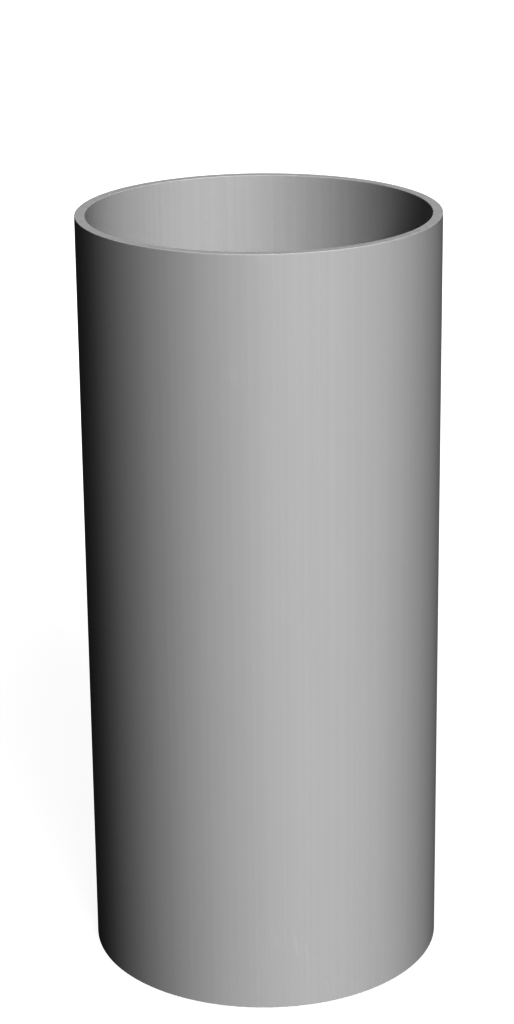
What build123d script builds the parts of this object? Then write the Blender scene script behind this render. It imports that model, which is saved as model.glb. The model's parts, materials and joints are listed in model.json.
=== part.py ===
from build123d import *
import os

# A short, plain-ended length of round PVC rainwater downpipe, standing on one end.
# Millimetres. Z runs up the pipe's axis, and the origin is the centre of its foot.

# Pipe section: 3 3/8 inch outside with a 3/32 inch wall, the same all the way round
outside_diameter = 85.73
wall_thickness = 2.38

# Cut length, and the small 45 degree bevel that takes the burr off every sawn edge
pipe_length = 185.5
edge_bevel = 0.1

outside_radius = outside_diameter / 2
bore_radius = outside_radius - wall_thickness


# Downpipe: the ring section, extruded from the foot up to the top end
with BuildPart() as downpipe:
    with BuildSketch(Plane.XY) as pipe_section:
        Circle(radius=outside_radius)
        Circle(radius=bore_radius, mode=Mode.SUBTRACT)
    extrude(amount=pipe_length)

    # Sawn ends: both ends are square to the axis, with the outer edge and the bore edge deburred
    sawn_edges = downpipe.edges().filter_by(GeomType.CIRCLE)
    chamfer(sawn_edges, length=edge_bevel)

downpipe.part.label = "downpipe"

os.makedirs("parts", exist_ok=True)
export_step(downpipe.part, "parts/downpipe.step")
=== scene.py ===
"""Dresses a short length of round grey PVC downpipe and stands it in a plain pale studio.

The pipe is one extruded tube, sawn square at both ends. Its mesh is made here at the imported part's
sizes, with the relief that the extruder's die and the saw leave on it, and finished in satin grey.
Lengths are metres, Z runs up the pipe's axis, and the origin is the centre of the pipe's foot.
"""

import json
import logging
import math
from abc import ABC, abstractmethod
from dataclasses import dataclass, field
from enum import Enum

import bmesh
import bpy
import numpy as np
from mathutils import Matrix, Vector


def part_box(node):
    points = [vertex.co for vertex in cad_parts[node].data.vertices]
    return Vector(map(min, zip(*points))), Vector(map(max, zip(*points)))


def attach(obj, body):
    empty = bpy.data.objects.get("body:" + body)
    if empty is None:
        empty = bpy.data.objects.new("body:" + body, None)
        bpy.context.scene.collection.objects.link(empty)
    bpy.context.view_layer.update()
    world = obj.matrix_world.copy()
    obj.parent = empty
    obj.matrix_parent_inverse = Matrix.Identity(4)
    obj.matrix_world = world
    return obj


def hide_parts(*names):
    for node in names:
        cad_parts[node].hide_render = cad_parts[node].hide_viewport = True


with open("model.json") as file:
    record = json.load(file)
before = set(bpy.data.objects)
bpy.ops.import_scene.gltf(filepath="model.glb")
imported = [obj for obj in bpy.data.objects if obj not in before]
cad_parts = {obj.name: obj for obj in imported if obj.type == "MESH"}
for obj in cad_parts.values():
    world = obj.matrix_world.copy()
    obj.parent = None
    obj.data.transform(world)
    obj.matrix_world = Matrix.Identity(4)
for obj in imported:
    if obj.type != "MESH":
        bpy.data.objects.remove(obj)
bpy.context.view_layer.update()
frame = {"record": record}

log = logging.getLogger("downpipe")

MM = 0.001
FULL_TURN = 2 * math.pi

# How strongly rigid PVC bends light
PLASTIC_IOR = 1.53

# The value that noise varies about
NOISE_MIDDLE = 0.5

# The Mix node's sockets for colours, by number: the two that it blends, and the result
FIRST_COLOUR = 6
SECOND_COLOUR = 7
BLENDED_COLOUR = 2

Node = bpy.types.Node
Socket = bpy.types.NodeSocket

# What a node's input takes: a link from another node, or a value of its own
Value = Socket | float | tuple[float, ...]


class Skin(Enum):
    """The pipe's kinds of surface, numbered as its material slots."""

    OUTSIDE = 0
    BORE = 1
    SAWN_END = 2


class Effect(Enum):
    """The surface effects that several finishes share, by the names of their node groups."""

    DIE_STREAKS = "die_streaks"
    CLOUDING = "clouding"
    SATIN_GRAIN = "satin_grain"
    SCUFFS = "scuffs"
    END_WEAR = "end_wear"


def grey(tone: float) -> tuple[float, float, float, float]:
    """Gives the neutral colour of a tone."""
    return (tone, tone, tone, 1.0)


class Graph:
    """One node tree, with short calls that add its nodes and link them."""

    def __init__(self, tree: bpy.types.NodeTree) -> None:
        """Empties the tree.

        Args:
            tree: The node tree of a material, a world or a group.
        """
        self.tree = tree
        self.tree.nodes.clear()

    def add(self, kind: str, inputs: dict[str | int, Value] | None = None, **settings: object) -> Node:
        """Adds a node, with its settings made before its inputs are filled.

        Args:
            kind: The node's type, without the leading "ShaderNode".
            inputs: Values or sockets by the input's name or number.
            **settings: The node's own settings, such as its operation.

        Returns:
            The new node.
        """
        full_kind = kind if kind.startswith("NodeGroup") else f"ShaderNode{kind}"
        node = self.tree.nodes.new(full_kind)
        for name, value in settings.items():
            setattr(node, name, value)
        for key, value in (inputs or {}).items():
            if isinstance(value, Socket):
                self.tree.links.new(value, node.inputs[key])
            else:
                node.inputs[key].default_value = value
        return node

    def give(self, result: Node, **values: Socket) -> None:
        """Links values to a group's outputs, by name."""
        for name, value in values.items():
            self.tree.links.new(value, result.inputs[name])

    def math(self, operation: str, *values: Value) -> Socket:
        """Adds a Math node and returns its result."""
        return self.add("Math", dict(enumerate(values)), operation=operation).outputs[0]

    def vector_math(self, operation: str, *values: Value) -> Socket:
        """Adds a Vector Math node and returns its vector."""
        return self.add("VectorMath", dict(enumerate(values)), operation=operation).outputs[0]

    def distance(self, first: Value, second: Value) -> Socket:
        """Measures how far two points are apart."""
        return self.add("VectorMath", {0: first, 1: second}, operation="DISTANCE").outputs["Value"]

    def part(self, vector: Socket, axis: str) -> Socket:
        """Takes the X, Y or Z part of a vector."""
        return self.add("SeparateXYZ", {0: vector}).outputs[axis]

    def turned(self, position: Socket, angle: Value) -> Socket:
        """Turns a point about the pipe's axis by an angle in radians."""
        turn = {"Vector": position, "Angle": angle}
        return self.add("VectorRotate", turn, rotation_type="Z_AXIS").outputs[0]

    def stretched(self, position: Socket, across: Value, along: Value) -> Socket:
        """Divides a position by one size across the pipe and another along it."""
        sizes = self.add("CombineXYZ", {0: across, 1: across, 2: along}).outputs[0]
        return self.vector_math("DIVIDE", position, sizes)

    def spread(
        self, value: Socket, low: float, high: float, to_low: float = 0.0, to_high: float = 1.0
    ) -> Socket:
        """Maps a range smoothly onto another and holds it there.

        Args:
            value: The socket to map.
            low: The value that becomes to_low.
            high: The value that becomes to_high.
            to_low: The result at and below low.
            to_high: The result at and above high.

        Returns:
            The mapped value.
        """
        ends = {"Value": value, "From Min": low, "From Max": high, "To Min": to_low, "To Max": to_high}
        return self.add("MapRange", ends, interpolation_type="SMOOTHSTEP").outputs["Result"]

    def noise(self, place: Socket, detail: float, roughness: float = 0.5) -> Socket:
        """Adds noise of unit size.

        Args:
            place: The coordinates, already divided by the size of the noise's features.
            detail: How many finer layers are added.
            roughness: How strong each finer layer is.

        Returns:
            The noise, which seldom comes near 0 or 1.
        """
        values = {"Vector": place, "Scale": 1.0, "Detail": detail, "Roughness": roughness}
        return self.add("TexNoise", values).outputs["Fac"]

    def full_noise(self, place: Socket, detail: float, roughness: float, reach: float = 0.2) -> Socket:
        """Adds noise of unit size that fills the range from 0 to 1.

        Args:
            place: The coordinates, already divided by the size of the noise's features.
            detail: How many finer layers are added.
            roughness: How strong each finer layer is.
            reach: How far from its middle the plain noise may go before it is held at 0 or 1.

        Returns:
            The noise, between 0 and 1.
        """
        plain = self.noise(place, detail, roughness)
        return self.spread(plain, NOISE_MIDDLE - reach, NOISE_MIDDLE + reach)

    def hairlines(self, place: Socket, width: float) -> Socket:
        """Marks the thin lines along which noise of unit size passes its middle.

        Args:
            place: The coordinates, already divided by the size of the noise's features.
            width: How far from the middle the noise may be on a line.

        Returns:
            A mask of the lines.
        """
        off_middle = self.math("SUBTRACT", self.noise(place, detail=1.0), NOISE_MIDDLE)
        return self.spread(self.math("ABSOLUTE", off_middle), 0.0, width, 1.0, 0.0)

    def tint(self, share: Socket, first: Value, second: Value) -> Socket:
        """Blends two colours by a mask that changes over the surface.

        Args:
            share: How much of the second colour shows.
            first: The colour where the mask is 0.
            second: The colour where the mask is 1.

        Returns:
            The blended colour.
        """
        inputs = {0: share, FIRST_COLOUR: first, SECOND_COLOUR: second}
        return self.add("Mix", inputs, data_type="RGBA").outputs[BLENDED_COLOUR]

    def relief(self, height: Socket, depth: float, below: Socket | None = None) -> Socket:
        """Adds a bump of real depth.

        Args:
            height: The relief, from 0 to 1.
            depth: How deep the whole range of the relief is.
            below: The normal of a relief that lies under this one.

        Returns:
            The bumped normal.
        """
        inputs = {"Strength": 1.0, "Distance": depth, "Height": height}
        if below is not None:
            inputs["Normal"] = below
        return self.add("Bump", inputs).outputs["Normal"]


class EffectShelf:
    """Builds each shared effect once, as a node group, and places copies of it in materials."""

    def __init__(self) -> None:
        """Builds all the groups."""
        makers = {
            Effect.DIE_STREAKS: self._die_streaks,
            Effect.CLOUDING: self._clouding,
            Effect.SATIN_GRAIN: self._satin_grain,
            Effect.SCUFFS: self._scuffs,
            Effect.END_WEAR: self._end_wear,
        }
        self.groups = {effect: maker(effect.value) for effect, maker in makers.items()}

    def place(self, graph: Graph, effect: Effect, position: Socket, **values: float) -> dict[str, Socket]:
        """Adds one effect to a material.

        Args:
            graph: The material's node tree.
            effect: Which effect.
            position: The place on the pipe, in metres.
            **values: The group's other inputs, with underscores for the spaces in their names.

        Returns:
            What the effect puts out, by name.
        """
        node = graph.add("Group", None, node_tree=self.groups[effect])
        graph.tree.links.new(position, node.inputs["Position"])
        for name, value in values.items():
            node.inputs[name.replace("_", " ")].default_value = value
        return {output.name: output for output in node.outputs}

    @staticmethod
    def _start(
        name: str, inputs: dict[str, float], outputs: list[str]
    ) -> tuple[Graph, dict[str, Socket], Node]:
        """Makes an empty group with a Position input.

        Args:
            name: The group's name.
            inputs: The starting value of each number that the group takes.
            outputs: The names of the numbers that it gives.

        Returns:
            Its graph, what it is given, by name, and its output node.
        """
        tree = bpy.data.node_groups.new(name, "ShaderNodeTree")
        tree.interface.new_socket("Position", in_out="INPUT", socket_type="NodeSocketVector")
        for label, value in inputs.items():
            taken = tree.interface.new_socket(label, in_out="INPUT", socket_type="NodeSocketFloat")
            taken.default_value = value
        for label in outputs:
            tree.interface.new_socket(label, in_out="OUTPUT", socket_type="NodeSocketFloat")
        graph = Graph(tree)
        given = {socket.name: socket for socket in graph.add("NodeGroupInput").outputs if socket.name}
        return graph, given, graph.add("NodeGroupOutput")

    def _die_streaks(self, name: str) -> bpy.types.NodeTree:
        """Makes the long fine streaks that run down every extruded wall.

        Args:
            name: The group's name.

        Returns:
            A group that gives the height of the streaks and a mask of the few dull hairlines in them.
        """
        # The hairlines are finer than the streaks by these factors, of which the last is along the pipe
        finer = (2.6, 2.6, 1.7)
        hairline_width = 0.012
        inputs = {"Line Width": 1.2 * MM, "Run": 0.3}
        graph, given, result = self._start(name, inputs, ["Height", "Hairline"])
        place = graph.stretched(given["Position"], given["Line Width"], given["Run"])
        streaks = graph.full_noise(place, detail=3.0, roughness=0.6, reach=0.22)
        hairlines = graph.hairlines(graph.vector_math("MULTIPLY", place, finer), hairline_width)
        graph.give(result, Height=streaks, Hairline=hairlines)
        return graph.tree

    def _clouding(self, name: str) -> bpy.types.NodeTree:
        """Makes the faint cloudy unevenness of plastic that is coloured all through.

        Args:
            name: The group's name.

        Returns:
            A group that gives the tone, from 0 to 1.
        """
        graph, given, result = self._start(name, {"Patch Size": 12 * MM, "Stretch": 2.0}, ["Tone"])
        long_side = graph.math("MULTIPLY", given["Patch Size"], given["Stretch"])
        place = graph.stretched(given["Position"], given["Patch Size"], long_side)
        graph.give(result, Tone=graph.full_noise(place, detail=5.0, roughness=0.6))
        return graph.tree

    def _satin_grain(self, name: str) -> bpy.types.NodeTree:
        """Makes the fine grain that keeps the plastic from shining like glass.

        Args:
            name: The group's name.

        Returns:
            A group that gives the grain's height.
        """
        graph, given, result = self._start(name, {"Grain Size": 0.4 * MM}, ["Height"])
        place = graph.stretched(given["Position"], given["Grain Size"], given["Grain Size"])
        graph.give(result, Height=graph.noise(place, detail=2.0, roughness=0.6))
        return graph.tree

    def _scuffs(self, name: str) -> bpy.types.NodeTree:
        """Makes sparse hair-fine rubs that lean round the pipe as they climb it.

        Args:
            name: The group's name.

        Returns:
            A group that gives a mask of the rubs.
        """
        stroke_width = 0.02
        patch_share = 0.6

        # A patch is rubbed where its noise passes a level, which falls as more is to be covered
        level_uncovered, level_covered = 0.8, 0.4
        soft_edge = 0.08
        inputs = {"Width": 0.5 * MM, "Run": 30 * MM, "Lean": 5.0, "Cover": 0.4}
        graph, given, result = self._start(name, inputs, ["Mark"])
        turn = graph.math("MULTIPLY", graph.part(given["Position"], "Z"), given["Lean"])
        leaning = graph.turned(given["Position"], turn)
        strokes = graph.hairlines(graph.stretched(leaning, given["Width"], given["Run"]), stroke_width)
        patch_size = graph.math("MULTIPLY", given["Run"], patch_share)
        patches = graph.noise(graph.stretched(leaning, patch_size, given["Run"]), detail=2.0)
        fall = level_covered - level_uncovered
        level = graph.math("MULTIPLY_ADD", given["Cover"], fall, level_uncovered)
        rubbed = graph.spread(graph.math("SUBTRACT", patches, level), 0.0, soft_edge)
        graph.give(result, Mark=graph.math("MULTIPLY", strokes, rubbed))
        return graph.tree

    def _end_wear(self, name: str) -> bpy.types.NodeTree:
        """Makes the paler rubbed edge beside each sawn end.

        Args:
            name: The group's name.

        Returns:
            A group that gives a mask of the wear.
        """
        # Counted in reaches from the end, with ragged noise added, the wear is whole up to the first
        # of these and gone from the second on
        whole, gone = 0.35, 1.1
        patch_share = 2.0
        graph, given, result = self._start(name, {"Pipe Length": 0.2, "Reach": 1.5 * MM}, ["Wear"])
        level = graph.part(given["Position"], "Z")
        below_top = graph.math("SUBTRACT", given["Pipe Length"], level)
        from_end = graph.math("DIVIDE", graph.math("MINIMUM", level, below_top), given["Reach"])
        patch_size = graph.math("MULTIPLY", given["Reach"], patch_share)
        place = graph.stretched(given["Position"], patch_size, patch_size)
        ragged = graph.math("ADD", from_end, graph.noise(place, detail=3.0, roughness=0.65))
        graph.give(result, Wear=graph.spread(ragged, whole, gone, 1.0, 0.0))
        return graph.tree


@dataclass
class Look:
    """The three sockets that make one look of the plastic."""

    colour: Socket
    roughness: Socket
    normal: Socket


@dataclass(frozen=True)
class Finish(ABC):
    """What every finish of the grey plastic has: its range of tone and of roughness.

    Attributes:
        name: The material's name.
        dark_tone: The darkest grey of the bare plastic.
        light_tone: The lightest grey of the bare plastic.
        smoothest: The roughness where it shines most.
        roughest: The roughness where it is dullest.
    """

    name: str
    dark_tone: float
    light_tone: float
    smoothest: float
    roughest: float

    @abstractmethod
    def look(self, graph: Graph, shelf: EffectShelf, position: Socket) -> Look:
        """Adds the nodes that set this finish apart.

        Args:
            graph: The material's node tree.
            shelf: The shared effects.
            position: The place on the pipe, in metres.

        Returns:
            The finish's look.
        """

    def material(self, shelf: EffectShelf) -> bpy.types.Material:
        """Makes the finish's material.

        Args:
            shelf: The shared effects.

        Returns:
            The finished material.
        """
        made = bpy.data.materials.new(self.name)
        made.use_nodes = True
        graph = Graph(made.node_tree)
        look = self.look(graph, shelf, graph.add("TexCoord").outputs["Object"])
        sockets = {
            "Base Color": look.colour,
            "Roughness": look.roughness,
            "IOR": PLASTIC_IOR,
            "Normal": look.normal,
        }
        plastic = graph.add("BsdfPrincipled", sockets)
        graph.add("OutputMaterial", {"Surface": plastic.outputs["BSDF"]})
        return made


@dataclass(frozen=True)
class ExtrudedFinish(Finish):
    """The satin finish of a wall that came out of the extruder's die.

    Attributes:
        streak_width: The width of a die streak.
        streak_height: How far it stands out.
        scuff_cover: How much of the wall has rubs, from 0 to 1.
        scuff_lean: How far round the pipe a rub leans, in radians for each metre up.
        pipe_length: The pipe's length, for the wear at its ends.
        streak_run: How far a streak keeps its shape down the pipe.
        cloud_size: The width of a patch of uneven tone.
        cloud_stretch: How many times taller than wide it is.
        cloud_share: How much it counts beside the streaks.
        grain_size: The size of the satin grain.
        grain_height: How far the grain stands out.
        scuff_width: The width of a rub's strokes.
        scuff_run: How long they are.
        wear_reach: How far the wear goes from each end.
        worn_tone: The grey of rubbed plastic.
        worn_share: How much of that grey a rub or a worn edge takes on.
        uneven_dulls: How much the streaks and patches dull the wall.
        hairline_dulls: How much a hairline dulls it.
        scuff_dulls: How much a rub dulls it.
        dullest: What those three add up to where the wall is as rough as it gets.
    """

    streak_width: float
    streak_height: float
    scuff_cover: float
    scuff_lean: float
    pipe_length: float
    streak_run: float = 600 * MM
    cloud_size: float = 8 * MM
    cloud_stretch: float = 4.0
    cloud_share: float = 0.35
    grain_size: float = 0.35 * MM
    grain_height: float = 0.004 * MM
    scuff_width: float = 0.45 * MM
    scuff_run: float = 24 * MM
    wear_reach: float = 0.7 * MM
    worn_tone: float = 0.45
    worn_share: float = 0.5
    uneven_dulls: float = 0.6
    hairline_dulls: float = 0.8
    scuff_dulls: float = 1.5
    dullest: float = 3.0

    def look(self, graph: Graph, shelf: EffectShelf, position: Socket) -> Look:
        """Adds the streaks, clouding, grain, scuffs and wear of an extruded wall.

        Args:
            graph: The material's node tree.
            shelf: The shared effects.
            position: The place on the pipe, in metres.

        Returns:
            The wall's look.
        """
        streaks = shelf.place(
            graph, Effect.DIE_STREAKS, position, Line_Width=self.streak_width, Run=self.streak_run
        )
        clouds = shelf.place(
            graph, Effect.CLOUDING, position, Patch_Size=self.cloud_size, Stretch=self.cloud_stretch
        )
        grain = shelf.place(graph, Effect.SATIN_GRAIN, position, Grain_Size=self.grain_size)
        scuffs = shelf.place(
            graph,
            Effect.SCUFFS,
            position,
            Width=self.scuff_width,
            Run=self.scuff_run,
            Lean=self.scuff_lean,
            Cover=self.scuff_cover,
        )
        wear = shelf.place(
            graph, Effect.END_WEAR, position, Pipe_Length=self.pipe_length, Reach=self.wear_reach
        )

        uneven = graph.math("MULTIPLY_ADD", clouds["Tone"], self.cloud_share, streaks["Height"])
        share = graph.spread(uneven, 0.0, 1.0 + self.cloud_share)
        colour = graph.tint(share, grey(self.dark_tone), grey(self.light_tone))
        for mark in (scuffs["Mark"], wear["Wear"]):
            worn = graph.math("MULTIPLY", mark, self.worn_share)
            colour = graph.tint(worn, colour, grey(self.worn_tone))

        dull = graph.math("MULTIPLY", uneven, self.uneven_dulls)
        dull = graph.math("MULTIPLY_ADD", streaks["Hairline"], self.hairline_dulls, dull)
        dull = graph.math("MULTIPLY_ADD", scuffs["Mark"], self.scuff_dulls, dull)
        roughness = graph.spread(dull, 0.0, self.dullest, self.smoothest, self.roughest)

        grained = graph.relief(grain["Height"], self.grain_height)
        normal = graph.relief(streaks["Height"], self.streak_height, below=grained)
        return Look(colour, roughness, normal)


@dataclass(frozen=True)
class SawnFinish(Finish):
    """The duller finish of an end that a fine-toothed circular saw has cut.

    Attributes:
        blade_radius: The radius of the saw's blade.
        feed_angle: The way in which the blade was fed, as an angle round the pipe in radians.
        score_pitch: How far apart the teeth's fine scores are.
        score_depth: How deep they are.
        score_run: How many times longer than its pitch a score is.
        score_share: How much the scores count in the unevenness, beside the patches.
        cloud_size: The size of a patch of uneven tone.
        grain_size: The size of the grain.
        grain_height: How far the grain stands out.
    """

    blade_radius: float
    feed_angle: float
    score_pitch: float = 0.7 * MM
    score_depth: float = 0.010 * MM
    score_run: float = 50.0
    score_share: float = 0.6
    cloud_size: float = 5 * MM
    grain_size: float = 0.25 * MM
    grain_height: float = 0.005 * MM

    def look(self, graph: Graph, shelf: EffectShelf, position: Socket) -> Look:
        """Adds the arcs that the saw's teeth score across the cut.

        Args:
            graph: The material's node tree.
            shelf: The shared effects.
            position: The place on the pipe, in metres.

        Returns:
            The cut's look.
        """
        clouds = shelf.place(graph, Effect.CLOUDING, position, Patch_Size=self.cloud_size, Stretch=1.0)
        grain = shelf.place(graph, Effect.SATIN_GRAIN, position, Grain_Size=self.grain_size)

        flat = graph.vector_math("MULTIPLY", position, (1.0, 1.0, 0.0))
        facing = graph.turned(flat, -self.feed_angle)
        from_hub = graph.distance(facing, (-self.blade_radius, 0.0, 0.0))
        across = graph.math("DIVIDE", from_hub, self.score_pitch)
        along = graph.math("DIVIDE", graph.part(facing, "Y"), self.score_run * self.score_pitch)
        place = graph.add("CombineXYZ", {0: across, 1: along}).outputs[0]
        scores = graph.full_noise(place, detail=3.0, roughness=0.7)

        patchy = graph.math("MULTIPLY", clouds["Tone"], 1 - self.score_share)
        uneven = graph.math("MULTIPLY_ADD", scores, self.score_share, patchy)
        colour = graph.tint(uneven, grey(self.dark_tone), grey(self.light_tone))
        roughness = graph.spread(uneven, 0.0, 1.0, self.smoothest, self.roughest)
        grained = graph.relief(grain["Height"], self.grain_height)
        normal = graph.relief(scores, self.score_depth, below=grained)
        return Look(colour, roughness, normal)


@dataclass(frozen=True)
class DieLines:
    """The shallow ridges and grooves that the die draws along a wall.

    Attributes:
        count: How many there are.
        height: The height or depth of the strongest.
        narrowest: The width of the narrowest.
        widest: The width of the widest.
        seed: What their places and sizes are drawn from.
        swell: By what share of its height a line swells and fades along the pipe.
        least_swells: The fewest times that it does so in the pipe's length.
        most_swells: The most times that it does so.
    """

    count: int
    height: float
    narrowest: float
    widest: float
    seed: int
    swell: float = 0.15
    least_swells: float = 0.2
    most_swells: float = 0.6

    def relief(self, angles: np.ndarray, levels: np.ndarray, radius: float, length: float) -> np.ndarray:
        """Adds up all the lines.

        Args:
            angles: The angles round the pipe at which the wall is made.
            levels: The heights at which it is made.
            radius: The wall's radius.
            length: The pipe's length.

        Returns:
            How far the wall stands out, by level and then by angle.
        """
        draw = np.random.default_rng(self.seed)
        total = np.zeros((len(levels), len(angles)))
        for _ in range(self.count):
            middle, start = draw.uniform(0.0, FULL_TURN, 2)
            half_angle = draw.uniform(self.narrowest, self.widest) / 2 / radius
            tallness = self.height * draw.uniform(-1.0, 1.0)
            swells = draw.uniform(self.least_swells, self.most_swells)
            off = (angles - middle + math.pi) % FULL_TURN - math.pi
            along = 1 + self.swell * np.sin(start + swells * FULL_TURN * levels / length)
            total += tallness * np.outer(along, np.exp(-((off / half_angle) ** 2)))
        return total


@dataclass(frozen=True)
class SawCut:
    """A square saw cut, with the arcs of the blade's teeth across it and slightly uneven deburred edges.

    Attributes:
        blade_radius: The radius of the saw's blade.
        feed_angle: The way in which the blade was fed, as an angle round the pipe in radians.
        edge_bevel: The width of the deburred edges.
        tooth_pitch: How far apart the teeth's arcs are.
        tooth_depth: How deep they are.
        edge_wander: By what share of its width a deburred edge varies.
        edge_waves: The waves of that variation: how many go round the pipe, and the share of each.
    """

    blade_radius: float
    feed_angle: float
    edge_bevel: float
    tooth_pitch: float = 1.3 * MM
    tooth_depth: float = 0.015 * MM
    edge_wander: float = 0.25
    edge_waves: tuple[tuple[int, float], ...] = ((3, 0.40), (8, 0.27), (17, 0.20), (31, 0.13))

    def depth(self, x: np.ndarray, y: np.ndarray) -> np.ndarray:
        """Gives how deep the tooth marks are.

        Args:
            x: Where the points of the cut face are across the pipe.
            y: Where they are the other way across it.

        Returns:
            The depth at each point, which is never below 0.
        """
        # The spacing of the arcs drifts, and a slower wave makes some of them deeper
        drift, drift_pace = 1.3, 0.13
        slow_pace, slow_start, slow_share = 0.37, 0.8, 0.35
        hub_x = -self.blade_radius * math.cos(self.feed_angle)
        hub_y = -self.blade_radius * math.sin(self.feed_angle)
        phase = FULL_TURN * np.hypot(x - hub_x, y - hub_y) / self.tooth_pitch
        quick = 0.5 + 0.5 * np.sin(phase + drift * np.sin(drift_pace * phase))
        slow = 0.5 + 0.5 * np.sin(slow_pace * phase + slow_start)
        return self.tooth_depth * ((1 - slow_share) * quick + slow_share * slow)

    def bevel(self, angles: np.ndarray, turn: float) -> np.ndarray:
        """Gives the width of a deburred edge round the pipe.

        Args:
            angles: The angles round the pipe.
            turn: How far the waves are turned round the pipe, so that no two edges are alike.

        Returns:
            The width at each angle.
        """
        wander = sum(share * np.sin(waves * (angles + turn)) for waves, share in self.edge_waves)
        return self.edge_bevel * (1 + self.edge_wander * wander)


@dataclass
class Ring:
    """One ring of points round the pipe.

    Attributes:
        radius: The distance of each point from the axis.
        level: The height of each point.
        sharp: Whether the surface turns sharply here.
    """

    radius: np.ndarray
    level: np.ndarray
    sharp: bool = False

    def towards(self, other: "Ring", share: float) -> "Ring":
        """Makes a ring part of the way to another."""
        radius = self.radius + share * (other.radius - self.radius)
        return Ring(radius, self.level + share * (other.level - self.level))


@dataclass
class Band:
    """Neighbouring rings of one skin, which lie together on the texture map.

    Attributes:
        skin: The surface that the band belongs to.
        rings: Its rings, of which the last is also the first of the next band.
        map_height: How much of the texture square's height it fills.
    """

    skin: Skin
    rings: list[Ring]
    map_height: float


@dataclass(frozen=True)
class Wall:
    """One of the pipe's two walls: the outside, or the bore.

    Attributes:
        radius: The wall's radius.
        outward: 1 where the wall faces away from the axis, and -1 where it faces the axis.
        lines: The die lines on it.
        foot_turn: How far the waves of its lower edge are turned round the pipe, in radians.
        top_turn: How far those of its upper edge are turned.
    """

    radius: float
    outward: int
    lines: DieLines
    foot_turn: float
    top_turn: float

    def rings(self, angles: np.ndarray, length: float, cells: int, cut: SawCut) -> list[Ring]:
        """Makes the wall's rings, from the foot up.

        Args:
            angles: The angles round the pipe.
            length: The pipe's length.
            cells: How many cells the wall has along the pipe.
            cut: The saw cut at both ends.

        Returns:
            The rings, of which the first and last are sharp.
        """
        foot_bevel = cut.bevel(angles, self.foot_turn)
        top_bevel = cut.bevel(angles, self.top_turn)
        shares = np.linspace(0.0, 1.0, cells + 1)
        relief = self.lines.relief(angles, shares * length, self.radius, length)
        rings = []
        for share, rise in zip(shares, relief):
            level = foot_bevel + share * (length - foot_bevel - top_bevel)
            rings.append(Ring(self.radius + self.outward * rise, level, sharp=share in (0.0, 1.0)))
        return rings


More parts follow.
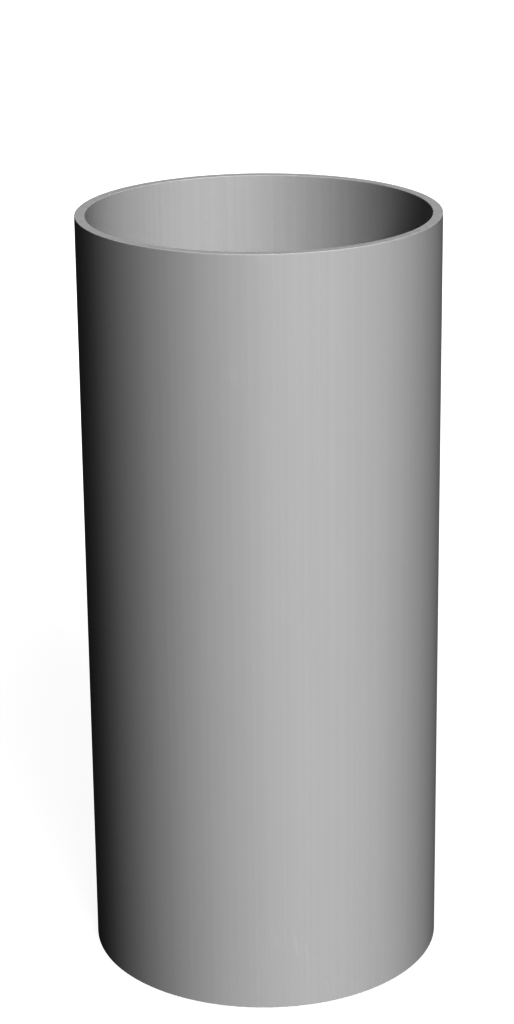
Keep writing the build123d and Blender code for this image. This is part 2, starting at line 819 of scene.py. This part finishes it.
@dataclass
class Downpipe:
    """The length of pipe: a thin even tube with both ends sawn square.

    Attributes:
        outside: The outside wall.
        bore: The wall of the bore.
        length: The pipe's length.
        cut: The saw cut at both ends.
        finishes: The finish of each skin.
        segments: How many points a ring has.
        wall_cells: How many cells each wall has along the pipe.
        face_cells: How many cells a sawn face has across the wall's thickness.
        bevel_cells: How many cells a deburred edge has across.
        map_gap: The gap between two bands on the texture map.
        wall_map_height: How much of the texture square's height a wall fills.
        end_map_height: How much of it a sawn end fills.
        angles: The angles of a ring's points.
    """

    outside: Wall
    bore: Wall
    length: float
    cut: SawCut
    finishes: dict[Skin, Finish]
    segments: int = 1080
    wall_cells: int = 20
    face_cells: int = 8
    bevel_cells: int = 2
    map_gap: float = 0.003
    wall_map_height: float = 0.48
    end_map_height: float = 0.013
    angles: np.ndarray = field(init=False)

    def __post_init__(self) -> None:
        """Spaces the angles round the pipe."""
        self.angles = np.arange(self.segments) * FULL_TURN / self.segments

    def end(self, start: Ring, finish: Ring, level: float) -> list[Ring]:
        """Makes the rings of a sawn end, from one wall over its two bevels to the other.

        Args:
            start: The last ring of the wall that the end follows.
            finish: The first ring of the wall that follows the end.
            level: The height of the sawn face.

        Returns:
            The rings between those two, with the edges of the face sharp.
        """
        facing = 1 if level > 0 else -1
        edges = []
        for wall_ring in (start, finish):
            drop = np.abs(level - wall_ring.level)
            side = np.sign((start.radius + finish.radius) / 2 - wall_ring.radius)
            edges.append(Ring(wall_ring.radius + side * drop, np.full(self.segments, level)))
        bevel_shares = np.linspace(0.0, 1.0, self.bevel_cells + 1)[1:-1]
        rings = [start.towards(edges[0], share) for share in bevel_shares]
        for share in np.linspace(0.0, 1.0, self.face_cells + 1):
            radius = edges[0].towards(edges[1], share).radius
            depth = self.cut.depth(radius * np.cos(self.angles), radius * np.sin(self.angles))
            rings.append(Ring(radius, level - facing * depth, sharp=share in (0.0, 1.0)))
        rings += [edges[1].towards(finish, share) for share in bevel_shares]
        return rings

    def bands(self) -> list[Band]:
        """Makes the whole closed section: outside wall, top end, bore and foot.

        Returns:
            The bands in order round the section.
        """
        outside = self.outside.rings(self.angles, self.length, self.wall_cells, self.cut)
        bore = self.bore.rings(self.angles, self.length, self.wall_cells, self.cut)[::-1]
        top = [outside[-1], *self.end(outside[-1], bore[0], self.length), bore[0]]
        foot = [bore[-1], *self.end(bore[-1], outside[0], 0.0), outside[0]]
        return [
            Band(Skin.OUTSIDE, outside, self.wall_map_height),
            Band(Skin.SAWN_END, top, self.end_map_height),
            Band(Skin.BORE, bore, self.wall_map_height),
            Band(Skin.SAWN_END, foot, self.end_map_height),
        ]

    def lay_faces(
        self, shape: bmesh.types.BMesh, bands: list[Band], grid: list[list[bmesh.types.BMVert]]
    ) -> None:
        """Lays a row of faces between each two neighbouring rings, with its place on the texture map.

        Args:
            shape: The mesh in the making.
            bands: The bands of the section.
            grid: The points of each ring.
        """
        texture_map = shape.loops.layers.uv.new("OFBake")
        row = 0
        map_low = self.map_gap
        for band in bands:
            heights = np.linspace(map_low, map_low + band.map_height, len(band.rings))
            for low, high in zip(heights, heights[1:]):
                here, there = grid[row], grid[(row + 1) % len(grid)]
                for j in range(self.segments):
                    k = (j + 1) % self.segments
                    face = shape.faces.new((here[j], here[k], there[k], there[j]))
                    face.material_index = band.skin.value
                    face.smooth = True
                    left, right = j / self.segments, (j + 1) / self.segments
                    corners = ((left, low), (right, low), (right, high), (left, high))
                    for loop, corner in zip(face.loops, corners):
                        loop[texture_map].uv = corner
                row += 1
            map_low += band.map_height + self.map_gap

    def build(self, name: str) -> bpy.types.Object:
        """Builds the pipe's closed mesh.

        Args:
            name: The piece's name.

        Returns:
            The new object, still without its materials.
        """
        shape = bmesh.new()
        bands = self.bands()
        rings = [ring for band in bands for ring in band.rings[:-1]]
        grid = []
        for ring in rings:
            across, deep = ring.radius * np.cos(self.angles), ring.radius * np.sin(self.angles)
            grid.append([shape.verts.new(point) for point in zip(across, deep, ring.level)])
        self.lay_faces(shape, bands, grid)
        for ring, points in zip(rings, grid):
            if ring.sharp:
                for j, point in enumerate(points):
                    shape.edges.get((point, points[(j + 1) % self.segments])).smooth = False
        bmesh.ops.recalc_face_normals(shape, faces=shape.faces)

        mesh = bpy.data.meshes.new(name)
        shape.to_mesh(mesh)
        shape.free()
        pipe = bpy.data.objects.new(name, mesh)
        bpy.context.scene.collection.objects.link(pipe)
        return pipe

    def dress(self, pipe: bpy.types.Object, shelf: EffectShelf) -> None:
        """Gives each skin of the pipe its finish."""
        for skin in Skin:
            pipe.data.materials.append(self.finishes[skin].material(shelf))


@dataclass(frozen=True)
class Softbox:
    """A soft rectangular studio light, aimed at the middle of the pipe.

    Attributes:
        name: The light's name.
        azimuth: Where it hangs, in degrees round the pipe from the front towards the right.
        elevation: How high it hangs, in degrees above the middle of the pipe.
        distance: How far off it hangs.
        width: Its width.
        height: Its height.
        power: Its power in watts.
        in_reflections: Whether the plastic's sheen shows it.
    """

    name: str
    azimuth: float
    elevation: float
    distance: float
    width: float
    height: float
    power: float
    in_reflections: bool

    def hang(self, target: Vector) -> bpy.types.Object:
        """Places the light.

        Args:
            target: The point that it is aimed at.

        Returns:
            The light.
        """
        lamp = bpy.data.lights.new(self.name, "AREA")
        lamp.shape = "RECTANGLE"
        lamp.size, lamp.size_y = self.width, self.height
        lamp.energy = self.power
        turn, lift = math.radians(self.azimuth), math.radians(self.elevation)
        away = Vector((math.sin(turn) * math.cos(lift), -math.cos(turn) * math.cos(lift), math.sin(lift)))
        light = bpy.data.objects.new(self.name, lamp)
        light.location = target + away * self.distance
        light.rotation_mode = "QUATERNION"
        light.rotation_quaternion = away.to_track_quat("Z", "Y")
        light.visible_camera = False
        light.visible_glossy = self.in_reflections
        bpy.context.scene.collection.objects.link(light)
        return light


@dataclass(frozen=True)
class Viewpoint:
    """Where the picture is taken from: in front of the pipe, looking down into its top end.

    Attributes:
        lens_mm: The lens's focal length in millimetres.
        sensor_mm: The longer side of the picture behind the lens, in millimetres.
        distance: How far in front of the pipe's axis the camera stands.
        above_top: How far above the pipe's top end it stands.
        pitch: How far it looks down, in degrees.
        yaw: How far it looks to the right, in degrees.
        roll: How far it is tipped on its side, in degrees.
        nearest: The nearest distance that it shows.
        farthest: The farthest distance that it shows.
    """

    lens_mm: float
    sensor_mm: float
    distance: float
    above_top: float
    pitch: float
    yaw: float
    roll: float
    nearest: float = 0.01
    farthest: float = 50.0

    def mount(self, pipe_length: float) -> bpy.types.Object:
        """Places the camera and makes it the scene's own.

        Args:
            pipe_length: The pipe's length, from which the camera's height is counted.

        Returns:
            The camera.
        """
        lens = bpy.data.cameras.new("camera")
        lens.lens = self.lens_mm
        lens.sensor_width = self.sensor_mm
        lens.clip_start, lens.clip_end = self.nearest, self.farthest
        camera = bpy.data.objects.new("camera", lens)
        aim = Matrix.Rotation(-math.radians(self.yaw), 4, "Z")
        tilt = Matrix.Rotation(math.radians(90 - self.pitch), 4, "X")
        lean = Matrix.Rotation(math.radians(self.roll), 4, "Z")
        place = Matrix.Translation((0.0, -self.distance, pipe_length + self.above_top))
        camera.matrix_world = place @ aim @ tilt @ lean
        bpy.context.scene.collection.objects.link(camera)
        bpy.context.scene.camera = camera
        return camera


@dataclass(frozen=True)
class Studio:
    """A white floor that runs on to a white surround, lit by soft lights.

    Outside the shadows, both are a little over white in the print, so that no grey specks are left.

    Attributes:
        lights: The lights.
        floor_radius: The floor's radius.
        floor_sides: How many straight sides its edge has.
        floor_drop: How far it lies below the pipe's foot.
        floor_glow: The floor's own light near the pipe.
        floor_tone: The grey that takes the shadows there.
        bounce_tone: The grey of the floor as the pipe sees it.
        shadow_fades: How far from the pipe's axis the shadows start to fade out.
        shadow_ends: How far from it they are gone, and the floor is as bright as the surround.
        surround: The surround's light as the camera sees it.
        fill: The surround's light as the pipe sees it.
        contrast: The gamma of the print.
    """

    lights: tuple[Softbox, ...]
    floor_radius: float = 8.0
    floor_sides: int = 96
    floor_drop: float = 0.05 * MM
    floor_glow: float = 0.953
    floor_tone: float = 0.047
    bounce_tone: float = 0.095
    shadow_fades: float = 0.1
    shadow_ends: float = 0.55
    surround: float = 1.06
    fill: float = 0.18
    contrast: float = 1 / 2.2

    def lay_floor(self) -> bpy.types.Object:
        """Lays the floor just under the pipe's foot, with its faint shadows fading out around the pipe.

        Returns:
            The floor, which isn't part of the pipe.
        """
        shape = bmesh.new()
        bmesh.ops.create_circle(
            shape, cap_ends=True, radius=self.floor_radius, segments=self.floor_sides
        )
        mesh = bpy.data.meshes.new("floor")
        shape.to_mesh(mesh)
        shape.free()
        floor = bpy.data.objects.new("floor", mesh)
        floor.location.z = -self.floor_drop
        bpy.context.scene.collection.objects.link(floor)

        paint = bpy.data.materials.new("pale_floor")
        paint.use_nodes = True
        graph = Graph(paint.node_tree)
        from_pipe = graph.distance(graph.add("TexCoord").outputs["Object"], (0.0, 0.0, 0.0))
        strength = graph.spread(
            from_pipe, self.shadow_fades, self.shadow_ends, self.floor_glow, self.surround
        )
        glow = graph.add("Emission", {"Strength": strength})
        matt = graph.add("BsdfDiffuse", {"Color": grey(self.floor_tone)})
        seen = graph.add("AddShader", {0: glow.outputs[0], 1: matt.outputs[0]})
        bounce = graph.add("BsdfDiffuse", {"Color": grey(self.bounce_tone)})
        camera_ray = graph.add("LightPath").outputs["Is Camera Ray"]
        either = graph.add("MixShader", {0: camera_ray, 1: bounce.outputs[0], 2: seen.outputs[0]})
        graph.add("OutputMaterial", {"Surface": either.outputs[0]})
        mesh.materials.append(paint)
        return floor

    def surround_with_white(self) -> None:
        """Makes the surround white to the camera and a dim even fill to the pipe."""
        world = bpy.data.worlds.new("surround")
        bpy.context.scene.world = world
        world.use_nodes = True
        graph = Graph(world.node_tree)
        seen = graph.add("Background", {"Color": grey(1.0), "Strength": self.surround})
        dim = graph.add("Background", {"Color": grey(1.0), "Strength": self.fill})
        camera_ray = graph.add("LightPath").outputs["Is Camera Ray"]
        either = graph.add("MixShader", {0: camera_ray, 1: dim.outputs[0], 2: seen.outputs[0]})
        graph.add("OutputWorld", {"Surface": either.outputs[0]})

    def set_print(self) -> None:
        """Sets the print's contrast: plain, with deep shadows."""
        view = bpy.context.scene.view_settings
        view.view_transform = "Standard"
        view.look = "None"
        view.exposure = 0.0
        view.gamma = self.contrast


def make_finishes(pipe_length: float, blade_radius: float, feed_angle: float) -> dict[Skin, Finish]:
    """Lists the finish of each skin of the pipe.

    Args:
        pipe_length: The pipe's length, for the wear at its ends.
        blade_radius: The radius of the blade that sawed the ends.
        feed_angle: The way in which the blade was fed, as an angle round the pipe in radians.

    Returns:
        The finishes by skin.
    """
    return {
        Skin.OUTSIDE: ExtrudedFinish(
            name="extruded_outside",
            dark_tone=0.394,
            light_tone=0.402,
            smoothest=0.49,
            roughest=0.60,
            streak_width=0.8 * MM,
            streak_height=0.0036 * MM,
            scuff_cover=0.4,
            scuff_lean=5.5,
            pipe_length=pipe_length,
        ),
        Skin.BORE: ExtrudedFinish(
            name="extruded_bore",
            dark_tone=0.387,
            light_tone=0.396,
            smoothest=0.47,
            roughest=0.58,
            streak_width=1.0 * MM,
            streak_height=0.0045 * MM,
            scuff_cover=0.15,
            scuff_lean=-3.0,
            pipe_length=pipe_length,
        ),
        Skin.SAWN_END: SawnFinish(
            name="sawn_end",
            dark_tone=0.385,
            light_tone=0.415,
            smoothest=0.62,
            roughest=0.78,
            blade_radius=blade_radius,
            feed_angle=feed_angle,
        ),
    }


def make_downpipe(record: dict) -> Downpipe:
    """Takes the pipe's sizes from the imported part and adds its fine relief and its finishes.

    Args:
        record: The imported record.

    Returns:
        The pipe, ready to build.
    """
    low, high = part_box("downpipe")
    length = high.z - low.z
    round_mounts = {mount["name"]: mount["dims"] for mount in record["mounts"] if mount["dims"]}
    between_bevels = round_mounts["bore"]["length_mm"] * MM
    blade_radius = 150 * MM
    feed_angle = math.radians(63)
    return Downpipe(
        outside=Wall(
            radius=round_mounts["outside_wall"]["r_mm"] * MM,
            outward=1,
            lines=DieLines(count=110, height=0.0022 * MM, narrowest=0.6 * MM, widest=1.8 * MM, seed=11),
            foot_turn=0.0,
            top_turn=2.0,
        ),
        bore=Wall(
            radius=round_mounts["bore"]["r_mm"] * MM,
            outward=-1,
            lines=DieLines(count=90, height=0.003 * MM, narrowest=0.8 * MM, widest=2.2 * MM, seed=29),
            foot_turn=1.0,
            top_turn=3.0,
        ),
        length=length,
        cut=SawCut(blade_radius, feed_angle, edge_bevel=(length - between_bevels) / 2),
        finishes=make_finishes(length, blade_radius, feed_angle),
    )


def make_studio() -> Studio:
    """Sets out the floor, the surround and the lights.

    Returns:
        The studio, ready to build.
    """
    key = Softbox(
        name="key",
        azimuth=18.8,
        elevation=36.5,
        distance=24.0,
        width=7.68,
        height=7.68,
        power=11900,
        in_reflections=True,
    )
    back = Softbox(
        name="back",
        azimuth=180,
        elevation=8,
        distance=3.0,
        width=1.6,
        height=0.6,
        power=140,
        in_reflections=False,
    )
    return Studio(lights=(key, back))


def make_viewpoint() -> Viewpoint:
    """Sets the camera where it sees the pipe as the picture of it does.

    Returns:
        The viewpoint, ready to mount.
    """
    return Viewpoint(
        lens_mm=92.44,
        sensor_mm=36.0,
        distance=0.60145,
        above_top=0.13446,
        pitch=19.13,
        yaw=-0.11,
        roll=-0.637,
    )


def main() -> None:
    """Builds the pipe, its studio and its camera, and notes the pipe's size."""
    logging.basicConfig(level=logging.INFO, format="%(name)s: %(message)s")
    shelf = EffectShelf()
    log.info("effects: %s", ", ".join(effect.value for effect in Effect))

    pipe = make_downpipe(frame["record"])
    piece = pipe.build("pipe_wall")
    pipe.dress(piece, shelf)
    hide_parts("downpipe")
    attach(piece, "root")
    log.info("%s: %d faces, %.2f mm across", piece.name, len(piece.data.polygons), piece.dimensions.x / MM)

    studio = make_studio()
    studio.lay_floor()
    studio.surround_with_white()
    studio.set_print()
    for box in studio.lights:
        box.hang(Vector((0.0, 0.0, pipe.length / 2)))
        log.info("light: %s", box.name)

    viewpoint = make_viewpoint()
    viewpoint.mount(pipe.length)
    log.info("camera: %.2f mm lens", viewpoint.lens_mm)


if __name__ == "__main__":
    main()
